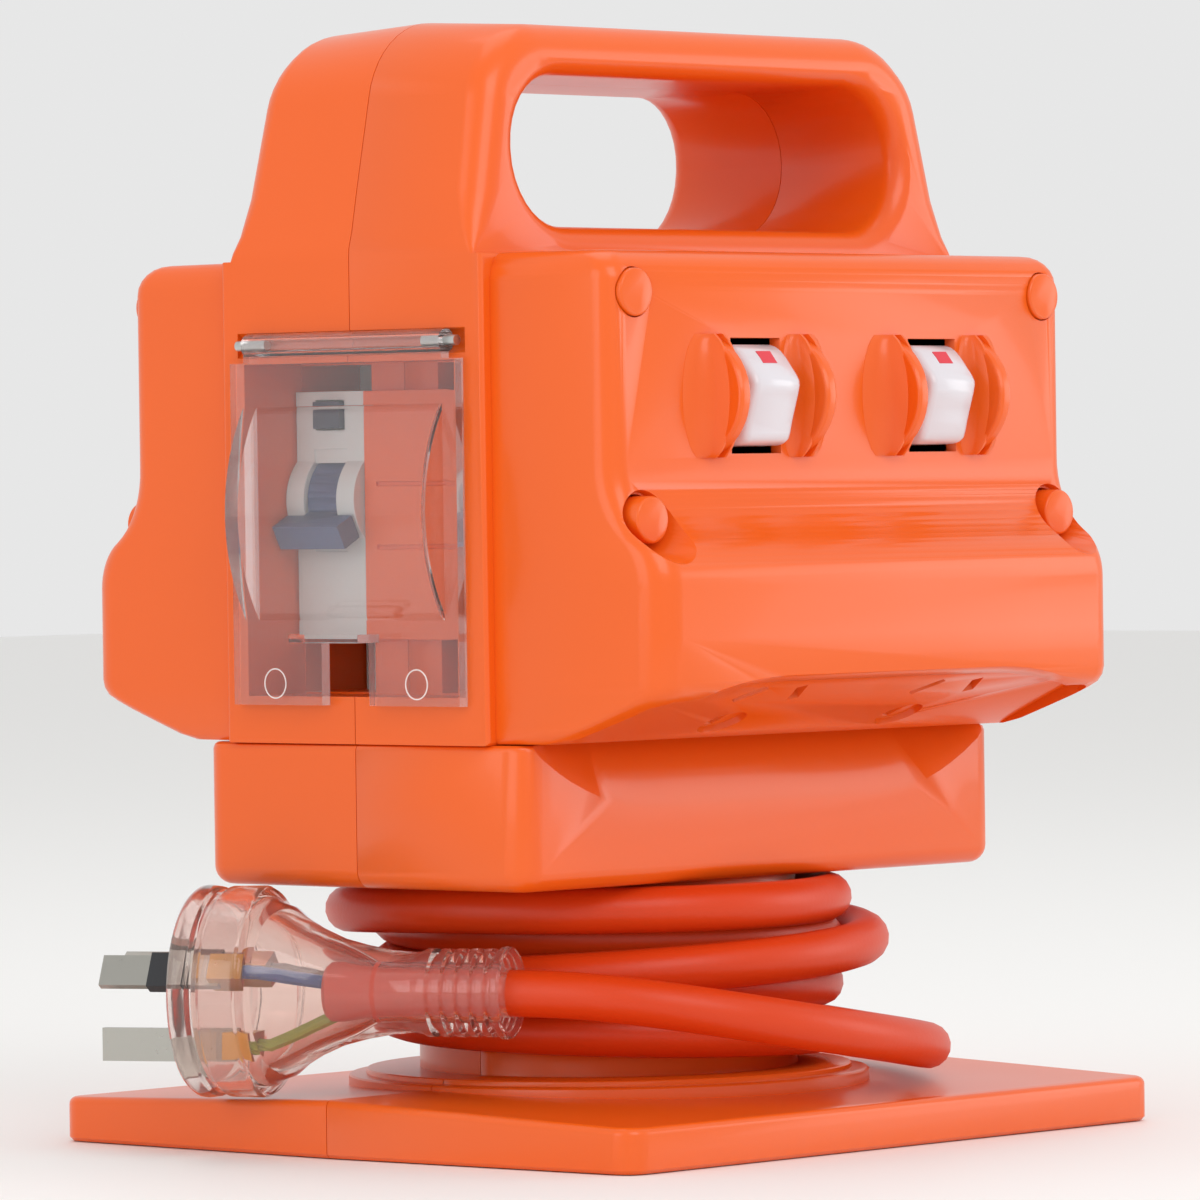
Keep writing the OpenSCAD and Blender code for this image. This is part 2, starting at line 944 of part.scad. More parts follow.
module cord_gland() {
  color("#2B2B33")
    at_entry(bend_end)
      difference() {
        translate([0, 0, -1])
          cylinder(r = 5.6, h = 6);
        translate([0, 0, -2])
          cylinder(r = cord_d / 2 + 0.1, h = 10);
      }
}

module cord_clamp() {
  color("#2B2B33")
    translate([6, 0, pocket_h])
      difference() {
        translate([-9, -22, 0])
          cube([18, 44, 5]);
        for (y = [-12, 0, 12])
          translate([0, y, -1])
            cylinder(r = 1.7, h = 8);
      }
}

module earth_bar() {
  color("#C9A24A")
    translate([54, -24, z_foot + wall])
      difference() {
        cube([8, 36, 7]);
        for (y = [6, 14, 22, 30])
          translate([4, y, 2])
            cylinder(r = 1.8, h = 8);
      }
}

// Each inner wire from the clamp up the core to its terminal
wire_paths = [
  [[6, -12, 5.5], [6, -12, 30], [2, -8, 52], [-12, 4, 66], [-16, 16, 74], [-16, 18, 81.5]],
  [[6, 0, 5.5], [6, 0, 36], [8, -6, 60], [16, -14, 90], [18, -16, 140], [12, -6, 164], [-6, 12, 168],
    [-16, 18, 166], [-16, 18, 161]],
  [[6, 12, 5.5], [6, 12, 30], [12, 2, 52], [28, -8, 66], [46, -10, 73], [55, -10, 72], [58, -10, 66], [58, -10, 57]]
];

module wire_brown() {
  color("#6B4226")
    tube(wire_paths[0], 1.6);
}

module wire_blue() {
  color("#2C5AA8")
    tube(wire_paths[1], 1.6);
}

module wire_green() {
  color("#3E9B45")
    tube(wire_paths[2], 1.6);
}

// ---- cord ----

module cord_entry() {
  color("#E8551F")
    translate([bend_c[0], bend_c[1], entry_z])
      rotate([0, 0, bend_turn + 60])
        rotate_extrude(angle = bend_end - 60 + 8)
          translate([bend_r, 0])
            circle(cord_d / 2);
}

module cord_coil() {
  color("#E8551F")
    rotate_extrude()
      polygon([[coil_in, coil_z], [coil_mid, coil_z], [coil_mid, coil_step_z],
        [coil_out, coil_step_z], [coil_out, z_foot - gap], [coil_in, z_foot - gap]]);
}

module cord_tail() {
  color("#E8551F")
    tube(tail_points, cord_d / 2);
}

// ---- plug, drawn with its pins along +Z and its earth pin towards -Y ----

module at_plug() {
  translate(plug_at)
    rotate([0, 0, plug_turn])
      rotate([-90, 0, 0])
        translate([0, 0, plug_l])
          mirror([0, 1, 0])
            children();
}

function plug_outline() = concat(
  [[0, 0]],
  arc([plug_d / 2 - 2, -2], 2, 90, 0, 4),
  [[plug_d / 2 - 0.4, -plug_t + 1], [plug_d / 2 - 1.4, -plug_t]],
  [[17, -plug_t], [16.4, -plug_t - 2.5], [13.6, -plug_t - 5.5], [11, -plug_t - 10]],
  [[9.2, -plug_t - 16], [8.2, -plug_t - 23], [7.6, -plug_t - 29]],
  [[8, -plug_t - 31.5], [8.4, -plug_t - 32], [8.4, -plug_l + 2.5], [8.8, -plug_l + 2], [8.8, -plug_l],
    [0, -plug_l]]);

module plug_body() {
  color([0.95, 0.9, 0.88, 0.35])
    at_plug()
      difference() {
        rotate_extrude()
          polygon(plug_outline());
        translate([0, 0, -plug_l - 1])
          cylinder(r = cord_d / 2 - 0.05, h = 30);
        rotate_extrude()
          polygon([[0, -4.6], [plug_d / 2 - 3, -4.6], [plug_d / 2 - 3, -plug_t + 2], [13.6, -plug_t],
            [11, -plug_t - 5.5], [8.5, -plug_t - 10], [6.6, -plug_t - 17], [5, -plug_t - 20], [0, -plug_t - 20]]);
        slots(pin_w, pin_t, 12, -8);
      }
}

module pin(i, reach) {
  s = slot_places()[i];
  at_plug()
    translate([s[0], s[1], 0])
      rotate([0, 0, s[2]])
        translate([-pin_t / 2, -pin_w / 2, -7])
          cube([pin_t, pin_w, reach + 7]);
}

module sleeve(i) {
  s = slot_places()[i];
  at_plug()
    translate([s[0], s[1], 0])
      rotate([0, 0, s[2]])
        difference() {
          translate([-pin_t / 2 - 0.5, -pin_w / 2 - 0.4, 0])
            cube([pin_t + 1, pin_w + 0.8, 7.5]);
          translate([-pin_t / 2, -pin_w / 2, -1])
            cube([pin_t, pin_w, 10]);
        }
}

module plug_pin_active() {
  color("#D8D8D4")
    pin(0, 17.4);
}

module plug_pin_neutral() {
  color("#D8D8D4")
    pin(1, 17.4);
}

module plug_pin_earth() {
  color("#D8D8D4")
    pin(2, 20);
}

module plug_sleeve_active() {
  color("#2B2B33")
    sleeve(0);
}

module plug_sleeve_neutral() {
  color("#2B2B33")
    sleeve(1);
}

module plug_terminals() {
  color("#C9A24A")
    at_plug()
      for (s = slot_places())
        translate([s[0], s[1], -9.6])
          rotate([0, 0, s[2]])
            difference() {
              translate([-2.6, -2.6, -2])
                cube([5.2, 5.2, 6.4]);
              translate([-pin_t / 2, -pin_w / 2, 2.6])
                cube([pin_t, pin_w, 6]);
              translate([0, 0, -3])
                cylinder(r = 1.4, h = 4);
            }
}

// A plug wire from its terminal back to the cord's end
module plug_wire(i) {
  s = slot_places()[i];
  at_plug()
    tube([[s[0], s[1], -9.8], [s[0], s[1], -14], [s[0] * 0.9, s[1] * 0.8, -19],
      [s[0] * 0.45, s[1] * 0.5, -26], [s[0] * 0.24, s[1] * 0.2, -33], [s[0] * 0.24, s[1] * 0.2, -42.8]], 1.3, 8);
}

module plug_wire_brown() {
  color("#6B4226")
    plug_wire(0);
}

module plug_wire_blue() {
  color("#2C5AA8")
    plug_wire(1);
}

module plug_wire_green() {
  color("#3E9B45")
    plug_wire(2);
}

// ---- one sub-part, or all of them ----

front_handle();
rear_handle();
front_shell();
rear_shell();
front_spool();
rear_spool();
shell_screws();
front_cover();
rear_cover();
front_cover_screws();
rear_cover_screws();
front_screw_caps();
rear_screw_caps();
rocker_front_left();
rocker_front_right();
rocker_rear_left();
rocker_rear_right();
switch_case_front_left();
switch_case_front_right();
switch_case_rear_left();
switch_case_rear_right();
front_socket_carrier();
rear_socket_carrier();
front_contacts();
rear_contacts();
breaker_case();
breaker_toggle();
breaker_test_button();
breaker_terminals();
din_rail();
blanking_plate();
window_lid();
lid_hinge_pin();
cord_gland();
cord_clamp();
earth_bar();
wire_brown();
wire_blue();
wire_green();
cord_entry();
cord_coil();
cord_tail();
plug_body();
plug_pin_active();
plug_pin_neutral();
plug_pin_earth();
plug_sleeve_active();
plug_sleeve_neutral();
plug_wire_brown();
plug_wire_blue();
plug_wire_green();
plug_terminals();
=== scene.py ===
import math

import bmesh
import bpy
from mathutils import Matrix, Vector


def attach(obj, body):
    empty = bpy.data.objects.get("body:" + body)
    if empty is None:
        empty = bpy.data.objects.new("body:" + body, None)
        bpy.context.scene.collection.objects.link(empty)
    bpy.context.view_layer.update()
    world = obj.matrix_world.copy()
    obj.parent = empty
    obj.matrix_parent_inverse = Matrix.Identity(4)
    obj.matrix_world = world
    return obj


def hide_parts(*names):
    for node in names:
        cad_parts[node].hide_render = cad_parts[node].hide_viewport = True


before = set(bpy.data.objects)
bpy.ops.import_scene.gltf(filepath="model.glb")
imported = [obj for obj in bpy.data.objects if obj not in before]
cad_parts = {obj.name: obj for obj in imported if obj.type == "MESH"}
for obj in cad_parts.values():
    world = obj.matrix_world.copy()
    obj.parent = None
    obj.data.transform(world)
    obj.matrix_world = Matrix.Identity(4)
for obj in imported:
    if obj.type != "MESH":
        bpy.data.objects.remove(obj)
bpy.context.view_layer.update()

# ---- The camera ----
# A long lens from the lid end and the front cover, a little above the handle's foot.
F_PX = 8160.0
DISTANCE = 1.6
EYE_Z = 0.1275
AZIMUTH = math.radians(-48.0)
PITCH = math.atan(120.0 / F_PX)
YAW = -2.5 / F_PX
ROLL = 0.0138

back = Vector((math.sin(AZIMUTH), -math.cos(AZIMUTH), 0.0))
right = Vector((math.cos(AZIMUTH), math.sin(AZIMUTH), 0.0))
look = (-back * math.cos(PITCH) - Vector((0, 0, 1)) * math.sin(PITCH) + right * YAW).normalized()
up = Vector((0, 0, 1)) * math.cos(PITCH) - back * math.sin(PITCH)
right = look.cross(up).normalized()
up = right.cross(look)
cam_right = right * math.cos(ROLL) - up * math.sin(ROLL)
cam_up = right * math.sin(ROLL) + up * math.cos(ROLL)
camera_data = bpy.data.cameras.new("camera")
camera_data.sensor_width = 36.0
camera_data.lens = F_PX / 1200.0 * 36.0
camera_data.clip_end = 20.0
camera = bpy.data.objects.new("camera", camera_data)
bpy.context.scene.collection.objects.link(camera)
turned = Matrix((cam_right, cam_up, -look)).transposed().to_4x4()
camera.matrix_world = Matrix.Translation(back * DISTANCE + Vector((0, 0, EYE_Z))) @ turned
bpy.context.scene.camera = camera


# ---- The cord ----
# About 1.7 m of 9 mm orange sheathed lead. It leaves a bush sunk in the core, winds up the core
# in one layer and back down over it, and runs round the front to the plug.
def linear(code):
    """A colour's linear values from its sRGB hex code."""
    parts = [int(code[i:i + 2], 16) / 255.0 for i in (1, 3, 5)]
    return [c / 12.92 if c <= 0.04045 else ((c + 0.055) / 1.055) ** 2.4 for c in parts] + [1.0]


def add_node(tree, kind, settings, links=()):
    """One shader node: its properties or socket values, then its (socket, source) links."""
    made = tree.nodes.new(kind)
    for key, value in settings.items():
        if key in made.inputs:
            made.inputs[key].default_value = value
        else:
            setattr(made, key, value)
    for key, source in links:
        tree.links.new(source, made.inputs[key])
    return made


def new_material(name):
    """An empty node material and its main shader."""
    made = bpy.data.materials.new(name)
    made.use_nodes = True
    return made, made.node_tree, made.node_tree.nodes["Principled BSDF"]


def moulded(name, code, rough, shade, grain_mm, depth, coat=0.0):
    """A moulded plastic: a slow drift of shade, a fine surface grain and uneven gloss."""
    made, tree, shader = new_material(name)
    place = add_node(tree, "ShaderNodeTexCoord", {})
    drift = add_node(tree, "ShaderNodeTexNoise", {"Scale": 18.0, "Detail": 2.0},
                     [("Vector", place.outputs["Object"])])
    mixed = add_node(tree, "ShaderNodeMix", {"data_type": "RGBA"},
                     [("Factor", drift.outputs["Fac"])])
    mixed.inputs[6].default_value = linear(code)
    mixed.inputs[7].default_value = linear(shade)
    tree.links.new(mixed.outputs[2], shader.inputs["Base Color"])
    grain = add_node(tree, "ShaderNodeTexNoise", {"Scale": 1000.0 / grain_mm, "Detail": 3.0},
                     [("Vector", place.outputs["Object"])])
    bump = add_node(tree, "ShaderNodeBump", {"Strength": depth, "Distance": 0.0002},
                    [("Height", grain.outputs["Fac"])])
    tree.links.new(bump.outputs["Normal"], shader.inputs["Normal"])
    gloss = add_node(tree, "ShaderNodeMapRange", {"To Min": rough * 0.85, "To Max": rough * 1.2},
                     [("Value", drift.outputs["Fac"])])
    tree.links.new(gloss.outputs["Result"], shader.inputs["Roughness"])
    shader.inputs["IOR"].default_value = 1.5
    shader.inputs["Coat Weight"].default_value = coat
    shader.inputs["Coat Roughness"].default_value = 0.08
    return made


# Flexible PVC sheath: satin, with a faint fine grain all over.
sheath = moulded("pvc_cord_sheath", "#DC4310", 0.38, "#D03C0C", 1.2, 0.25)
sheath.node_tree.nodes["Principled BSDF"].inputs["Specular IOR Level"].default_value = 0.35

CORD_D = 0.009
BEND_R = 0.033
BEND_TURN = math.radians(15)
BEND_END = math.radians(130)
BEND_C = Vector((0.009 * math.cos(BEND_TURN), 0.009 * math.sin(BEND_TURN), 0.0))
ENTRY_Z = 0.0178
TOP_Z = 0.0456
INNER_R = 0.042
OUTER_R = 0.051
INNER_PITCH = 0.00915
COIL_END = math.radians(107.5)
TURN_STEPS = 36
BEND_STEPS = 14
CROSS_STEPS = 18


def at_angle(radius, angle, z):
    return Vector((radius * math.cos(angle), radius * math.sin(angle), z))


# The free stretch, from the coil round to the plug
free_route = [Vector(p) * 0.001 for p in (
    (-5, 52, 27.3), (9, 53.5, 26.3), (23, 52, 24.9), (36, 46.5, 23.2), (46.5, 37.5, 21.5),
    (54, 25, 19.9), (58.5, 10.5, 18.3), (59.5, -4.5, 16.9), (57, -19.5, 15.9),
    (51.5, -33.5, 15.6), (43, -45.5, 15.7), (32, -55.3, 16.5), (19.5, -62.3, 18),
    (6, -66.3, 19.9), (-8.5, -67.6, 22.1), (-22.5, -66, 24.4), (-34, -61.5, 26.6),
    (-43.5, -54.5, 28.6), (-50.2, -46.2, 30), (-54.2, -37.4, 30.8), (-58.3, -28.3, 31),
    (-66.4, -10, 31))]

cord_path = []
for i in range(BEND_STEPS):
    a = BEND_TURN + BEND_END * (1 - i / BEND_STEPS)
    cord_path.append(BEND_C + Vector((BEND_R * math.cos(a), BEND_R * math.sin(a), ENTRY_Z)))
inner_turns = (TOP_Z - ENTRY_Z) / INNER_PITCH
steps = round(inner_turns * TURN_STEPS)
for i in range(steps):
    cord_path.append(at_angle(INNER_R, BEND_TURN - 2 * math.pi * inner_turns * i / steps,
                              ENTRY_Z + (TOP_Z - ENTRY_Z) * i / steps))
top_angle = BEND_TURN - 2 * math.pi * inner_turns
# Half a turn along the top, from the inner layer out to the outer one
for i in range(CROSS_STEPS):
    ease = (1 - math.cos(math.pi * i / CROSS_STEPS)) / 2
    cord_path.append(at_angle(INNER_R + (OUTER_R - INNER_R) * ease,
                              top_angle - math.pi * i / CROSS_STEPS, TOP_Z))
outer_start = top_angle - math.pi
outer_end = COIL_END
while outer_end > outer_start - 2 * math.pi * 1.1:
    outer_end -= 2 * math.pi
steps = round((outer_start - outer_end) / (2 * math.pi) * TURN_STEPS)
for i in range(steps):
    fall = i / steps
    cord_path.append(at_angle(OUTER_R + 0.0010 * fall ** 4,
                              outer_start + (outer_end - outer_start) * fall,
                              TOP_Z + (free_route[0].z + 0.0011 - TOP_Z) * fall ** 1.15))
cord_path += free_route

cord_curve = bpy.data.curves.new("cord", "CURVE")
cord_curve.dimensions = "3D"
cord_curve.bevel_depth = CORD_D / 2
cord_curve.bevel_resolution = 6
cord_curve.use_fill_caps = True
spline = cord_curve.splines.new("NURBS")
spline.points.add(len(cord_path) - 1)
for point, place in zip(spline.points, cord_path):
    point.co = (*place, 1.0)
spline.order_u = 4
spline.use_endpoint_u = True
spline.resolution_u = 3
cord_curve.materials.append(sheath)
cord = bpy.data.objects.new("cord", cord_curve)
bpy.context.scene.collection.objects.link(cord)
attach(cord, "housing")
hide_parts("cord_entry", "cord_coil", "cord_tail")

# The bush's tapered sleeve, which follows the cord's first bend
boot_curve = bpy.data.curves.new("entry_boot", "CURVE")
boot_curve.dimensions = "3D"
boot_curve.bevel_depth = 0.001
boot_curve.bevel_resolution = 5
boot_curve.use_fill_caps = True
boot_line = boot_curve.splines.new("POLY")
boot_line.points.add(11)
for i, point in enumerate(boot_line.points):
    a = BEND_TURN + math.radians(129 - 3.6 * i)
    point.co = (*(BEND_C + Vector((BEND_R * math.cos(a), BEND_R * math.sin(a), ENTRY_Z))), 1.0)
    point.radius = 5.5 - 0.07 * i
boot_curve.materials.append(sheath)
boot = bpy.data.objects.new("entry_boot", boot_curve)
bpy.context.scene.collection.objects.link(boot)
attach(boot, "housing")


# ---- The shell halves ----
# Two glossy orange ABS mouldings that meet at the seam: base plate, spool core, foot, body and
# handle in one. Each edge is rounded in the tool, and the hand opening's rim most of all.
def draw_out(name, rings):
    """A flat outline in millimetres, extruded through each next outline and left closed."""
    rings = [[Vector(p) * 0.001 for p in ring] for ring in rings]
    bpy.ops.object.select_all(action="DESELECT")
    bpy.ops.mesh.primitive_circle_add(vertices=len(rings[0]), fill_type="NGON")
    made = bpy.context.object
    made.name = name
    for vertex, place in zip(made.data.vertices, rings[0]):
        vertex.co = place
    bpy.ops.object.mode_set(mode="EDIT")
    bpy.ops.mesh.select_all(action="SELECT")
    for old, new in zip(rings, rings[1:]):
        bpy.ops.mesh.extrude_region_move()
        mesh = bmesh.from_edit_mesh(made.data)
        for vertex in [v for v in mesh.verts if v.select]:
            nearest = min(range(len(old)), key=lambda i: (old[i] - vertex.co).length_squared)
            vertex.co = new[nearest]
        bmesh.update_edit_mesh(made.data)
    bpy.ops.mesh.select_all(action="SELECT")
    bpy.ops.mesh.normals_make_consistent(inside=False)
    bpy.ops.object.mode_set(mode="OBJECT")
    return made


def shrink(outline, gaps):
    """A closed flat outline with each point moved inwards by its own distance."""
    count = len(outline)
    points = [Vector(p) for p in outline]
    area = sum(points[i].x * points[(i + 1) % count].y - points[(i + 1) % count].x * points[i].y
               for i in range(count))
    turn = 1 if area > 0 else -1
    moved = []
    for i in range(count):
        before = (points[i] - points[i - 1]).normalized()
        after = (points[(i + 1) % count] - points[i]).normalized()
        inward = Vector((-before.y, before.x)) * turn
        middle = (inward + Vector((-after.y, after.x)) * turn).normalized()
        moved.append(points[i] + middle * gaps[i] / max(0.4, middle.dot(inward)))
    return moved


def cut(piece, tool, operation="DIFFERENCE"):
    """Take a tool's shape out of a piece, or add it, and throw the tool away."""
    bpy.ops.object.select_all(action="DESELECT")
    bpy.context.view_layer.objects.active = piece
    step = piece.modifiers.new("cut", "BOOLEAN")
    step.operation = operation
    step.solver = "EXACT"
    step.object = tool
    bpy.ops.object.modifier_apply(modifier="cut")
    bpy.data.objects.remove(tool)


def box_tool(low, high):
    """A plain box to cut with, from its two corners in millimetres."""
    bpy.ops.object.select_all(action="DESELECT")
    centre = [(a + b) / 2000 for a, b in zip(low, high)]
    bpy.ops.mesh.primitive_cube_add(size=1, location=centre)
    made = bpy.context.object
    made.scale = [(b - a) / 1000 for a, b in zip(low, high)]
    bpy.ops.object.transform_apply(location=True, rotation=True, scale=True)
    return made


def rod_tool(centre, radius, length, axis="Y", sides=32, end_radius=None):
    """A rod or a cone to cut with or to build on, its middle in millimetres."""
    turn = {"X": (0, math.pi / 2, 0), "Y": (-math.pi / 2, 0, 0), "Z": (0, 0, 0)}[axis]
    bpy.ops.object.select_all(action="DESELECT")
    bpy.ops.mesh.primitive_cone_add(
        vertices=sides, radius1=radius / 1000, depth=length / 1000, rotation=turn,
        radius2=(radius if end_radius is None else end_radius) / 1000,
        location=[c / 1000 for c in centre])
    made = bpy.context.object
    bpy.ops.object.transform_apply(location=True, rotation=True, scale=True)
    return made


def soften(piece, width, segments=2, angle=32):
    """Break every remaining sharp edge, shade smooth and keep the flats flat."""
    bpy.ops.object.select_all(action="DESELECT")
    bpy.context.view_layer.objects.active = piece
    piece.select_set(True)
    if width:
        step = piece.modifiers.new("edges", "BEVEL")
        step.width = width / 1000
        step.segments = segments
        step.limit_method = "ANGLE"
        step.angle_limit = math.radians(angle)
        step.use_clamp_overlap = True
        bpy.ops.object.modifier_apply(modifier="edges")
    bpy.ops.object.shade_smooth_by_angle(angle=math.radians(min(angle, 32)))
    flats = piece.modifiers.new("flats", "WEIGHTED_NORMAL")
    flats.keep_sharp = True
    flats.weight = 80
    bpy.ops.object.modifier_apply(modifier="flats")


def weld(pieces, name):
    """Join pieces into one object under one name."""
    bpy.ops.object.select_all(action="DESELECT")
    for piece in pieces:
        piece.select_set(True)
    bpy.context.view_layer.objects.active = pieces[0]
    bpy.ops.object.join()
    bpy.context.object.name = name
    return bpy.context.object


def mirrored_copy(piece, name, across=Vector((0, 1, 0))):
    """The twin of a piece on the other side of the seam."""
    twin = piece.copy()
    twin.data = piece.data.copy()
    twin.name = name
    bpy.context.scene.collection.objects.link(twin)
    twin.data.transform(Matrix.Scale(-1, 4, across))
    twin.data.flip_normals()
    return twin


# Glossy ABS: even colour, a lacquer-like sheen and a very slight orange-peel ripple.
orange = moulded("glossy_orange_abs", "#EE6214", 0.3, "#EA5E12", 3.0, 0.08, 0.15)
orange.node_tree.nodes["Principled BSDF"].inputs["Specular IOR Level"].default_value = 0.42

HX = 70.6
HY = 34.3
Z_FOOT = 50.5
Z_BODY = 78.0
Z_DECK = 170.3
SEAM = 0.09
QUARTER = [math.radians(a) for a in (0, 15, 30, 45, 60, 75, 90)]


def slab(name, outline, depth, rounding):
    """A half of a moulding drawn from the seam: its side outline, depth and edge rounding."""
    rings = [[(x, SEAM, z) for x, z in outline]]
    for t in QUARTER:
        gaps = [rounding(z) * (1 - math.cos(t)) for x, z in outline]
        rings.append([(p.x, depth(z) - rounding(z) * (1 - math.sin(t)), p.y)
                      for p, (x, z) in zip(shrink(outline, gaps), outline)])
    return draw_out(name, [[crowned(*p) for p in ring] for ring in rings])


def crowned(x, y, z):
    """The handle's top falls a little towards its front and rear edges."""
    return (x, y, z - 2.4 * (y / 32) ** 2 * min(1, max(0, (z - 196) / 14)))


def arc_points(across, along, radius, angles):
    """Points on an arc about a centre, at angles in degrees."""
    return [(across + radius * math.cos(math.radians(a)),
             along + radius * math.sin(math.radians(a))) for a in angles]


def half_plan(w, d, r, inset, draft):
    """Half of a plan outline with two round corners, from the seam outwards."""
    r = max(r - inset, 0.3)
    side_x = w - draft - inset - r
    side_y = d - inset - r
    points = [(-(w - inset), SEAM)]
    points += arc_points(-side_x, side_y, r, range(180, 89, -15))
    points += arc_points(side_x, side_y, r, range(90, -1, -15))
    return points + [(w - inset, SEAM)]


def handle_depth(z):
    """The handle's faces lean in a little towards its top."""
    return 31.9 - (z - Z_DECK) * 0.055


body_half = slab("body_half", [(-HX, Z_BODY), (HX, Z_BODY), (HX, Z_DECK), (-HX, Z_DECK)],
                 lambda z: HY, lambda z: 1.2)
outline = [(HX, Z_DECK - 2), (HX, Z_DECK), (HX - 0.1, Z_DECK + 1.7), (69.6, Z_DECK + 5),
           (68.2, Z_DECK + 12.3)]
outline += arc_points(46.7, 197.5, 18, range(10, 91, 8))
outline += [(-x, z) for x, z in reversed(outline)]
handle_half = slab("handle_half", outline, handle_depth,
                   lambda z: 0.8 + 4.9 * min(1, max(0, (z - Z_DECK) / 9)))

# The hand opening flares out to a round rim at both faces
GRIP_RIM = 4.6
GRIP_CORNER = 14
GRIP_X = 41.5
grip = []
for cx, cz, first in ((GRIP_X, 190.5, 0), (-GRIP_X, 190.5, 90), (-GRIP_X, 189.7, 180),
                      (GRIP_X, 189.7, 270)):
    grip += arc_points(cx, cz, GRIP_CORNER, range(first, first + 91, 10))
rings = [[(x, -4, z) for x, z in grip]]
for t in QUARTER:
    flare = shrink(grip, [-GRIP_RIM * (1 - math.cos(t))] * len(grip))
    rings.append([(p.x, handle_depth(p.y) - GRIP_RIM * (1 - math.sin(t)), p.y) for p in flare])
rings.append([(x, y + 6, z) for x, y, z in rings[-1]])
cut(handle_half, draw_out("grip_tool", rings))
cut(body_half, handle_half, "UNION")
# The breaker's recess, the deeper hollow that its case stands in, and the lid's knuckle seat
cut(body_half, box_tool((-75, -5, 87), (-55, 27.5, 150.5)))
cut(body_half, box_tool((-60, 8.7, 87.4), (-22, 27.4, 150.2)))
cut(body_half, rod_tool((-71.6, 12, 154.1), 2.6, 35.6))

foot_half = draw_out("foot_half", [
    [(x, y, z) for x, y in half_plan(HX, 42, 5.5, inset, 0.9)] for inset, z in
    [(3.6 * (1 - math.cos(t)), Z_FOOT + 3.6 * (1 - math.sin(t))) for t in reversed(QUARTER)] + [
        (0, Z_BODY - 1.2), (0.3, Z_BODY - 0.4), (1.0, Z_BODY + 0.02)]])
# A hollow under the outlets, whose lower crease climbs towards both ends
SCOOP_H = 12.7
SCOOP_DEPTH = 7.7
scoop = []
for i in range(-17, 18):
    x = i * 4.0
    crease = Z_BODY - SCOOP_H + SCOOP_H * max(0.0, (abs(x) - 30) / 38) ** 2.2
    depth = SCOOP_DEPTH * (Z_BODY - crease) / SCOOP_H
    scoop.append([(x, 50, crease), (x, 42.02, crease), (x, 42.02 - depth, Z_BODY + 0.05),
                  (x, 42 - depth, Z_BODY + 3), (x, 50, Z_BODY + 3)])
cut(foot_half, draw_out("scoop", scoop))

core_profile = ((51, 8), (51, 11.6), (50.6, 11.9), (47.6, 12), (47.5, 12.8), (47.2, 13),
                (37, 13.05), (37, 51))
core_half = draw_out("core_half", [
    [(r * math.cos(math.pi * i / 40), SEAM + r * math.sin(math.pi * i / 40), z) for i in range(41)]
    for r, z in core_profile])


def base_plan(inset):
    return half_plan(80, 75, 5, inset, 2.5)


def plate_top(y):
    """The base plate's top falls from the seam to its front and rear edges."""
    return 11 - 2.5 * y / 75


BASE_ROUND = 1.5
base_rings = [[(x, y, 0) for x, y in base_plan(0.7)], [(x, y, 0.7) for x, y in base_plan(0)]]
for t in QUARTER:
    base_rings.append([(x, y, plate_top(y) - BASE_ROUND * (1 - math.sin(t)))
                       for x, y in base_plan(BASE_ROUND * (1 - math.cos(t)))])
base_half = draw_out("base_half", base_rings)
cut(base_half, box_tool((-74, 4, -1), (74, 69, 5)))

rear_shell = weld([body_half, foot_half, core_half, base_half], "rear_shell_skin")
soften(rear_shell, 0.32, 2)
rear_shell.data.materials.clear()
rear_shell.data.materials.append(orange)
front_shell = mirrored_copy(rear_shell, "front_shell_skin")
for skin, side in ((front_shell, "front"), (rear_shell, "rear")):
    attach(skin, "housing")
    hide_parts(side + "_shell", side + "_handle", side + "_spool")


# ---- The outlet covers ----
# One glossy orange ABS moulding on each side: a flat switch face that sweeps out to a lip, and a
# slanted floor with two outlets inside a hanging rim. Four screws hold it to the shell.
FLOOR_TURN = math.radians(23.17)
FLOOR_Y = 46.5
OUTLET_Y = 62.9
SWITCH_X = 26.0
SWITCH_Z = 143.0
FACE_Y = 63.0
OPENING_X = 7.1
OPENING_Z = 10.9
LIP_Y = 75.0
BROW_R = 11.0
BROW_Z = 107.54
HOLLOW_R = 18.0
HOLLOW_Z = 131.0
CAP_X = 60
CAP_TOP_Z = 162.3
CAP_LOW_Z = 120


def floor_z(y):
    """The height of the slanted floor at a distance from the seam."""
    return Z_BODY + 0.3 + (max(y, FLOOR_Y) - FLOOR_Y) * math.tan(FLOOR_TURN)


# The cover's side, from its lower edge up: height, distance from the seam and inset at the ends
profile = [(78.3, 50.0, 0.6), (79.4, 54, 0), (81.6, 60.3, 0), (84, 67, 0), (85.6, 71, 0),
           (86.8, 73.4, 0), (88.2, 74.6, 0), (89.8, LIP_Y, 0), (98, LIP_Y, 0)]
profile += [(z, y, 0) for y, z in arc_points(LIP_Y - BROW_R, BROW_Z, BROW_R, range(0, 54, 6))]
profile += [(z, y, 0) for y, z in
            arc_points(FACE_Y + HOLLOW_R, HOLLOW_Z, -HOLLOW_R, range(54, -1, -6))]
profile += [(164.6 + 5.7 * math.sin(t), 57.3 + 5.7 * math.cos(t), 3.4 * (1 - math.cos(t)))
            for t in QUARTER]
rings = []
for z, y, inset in profile:
    swell = min(1.0, max(0.0, (133 - z) / 24))
    swell = swell * swell * (3 - 2 * swell)
    corner = min(4.6 + 1.6 * swell, y - 35)
    ring = half_plan(68.5, y, corner, 0, 1.3)
    ring = [(x - math.copysign(inset, x), max(y1, HY), z) for x, y1 in ring]
    rings.append(ring)
cover = draw_out("cover", rings)
floor_plan = [(x, max(y, FLOOR_Y)) for x, y in half_plan(65.4, 72.2, 5, 0, 1.2)]
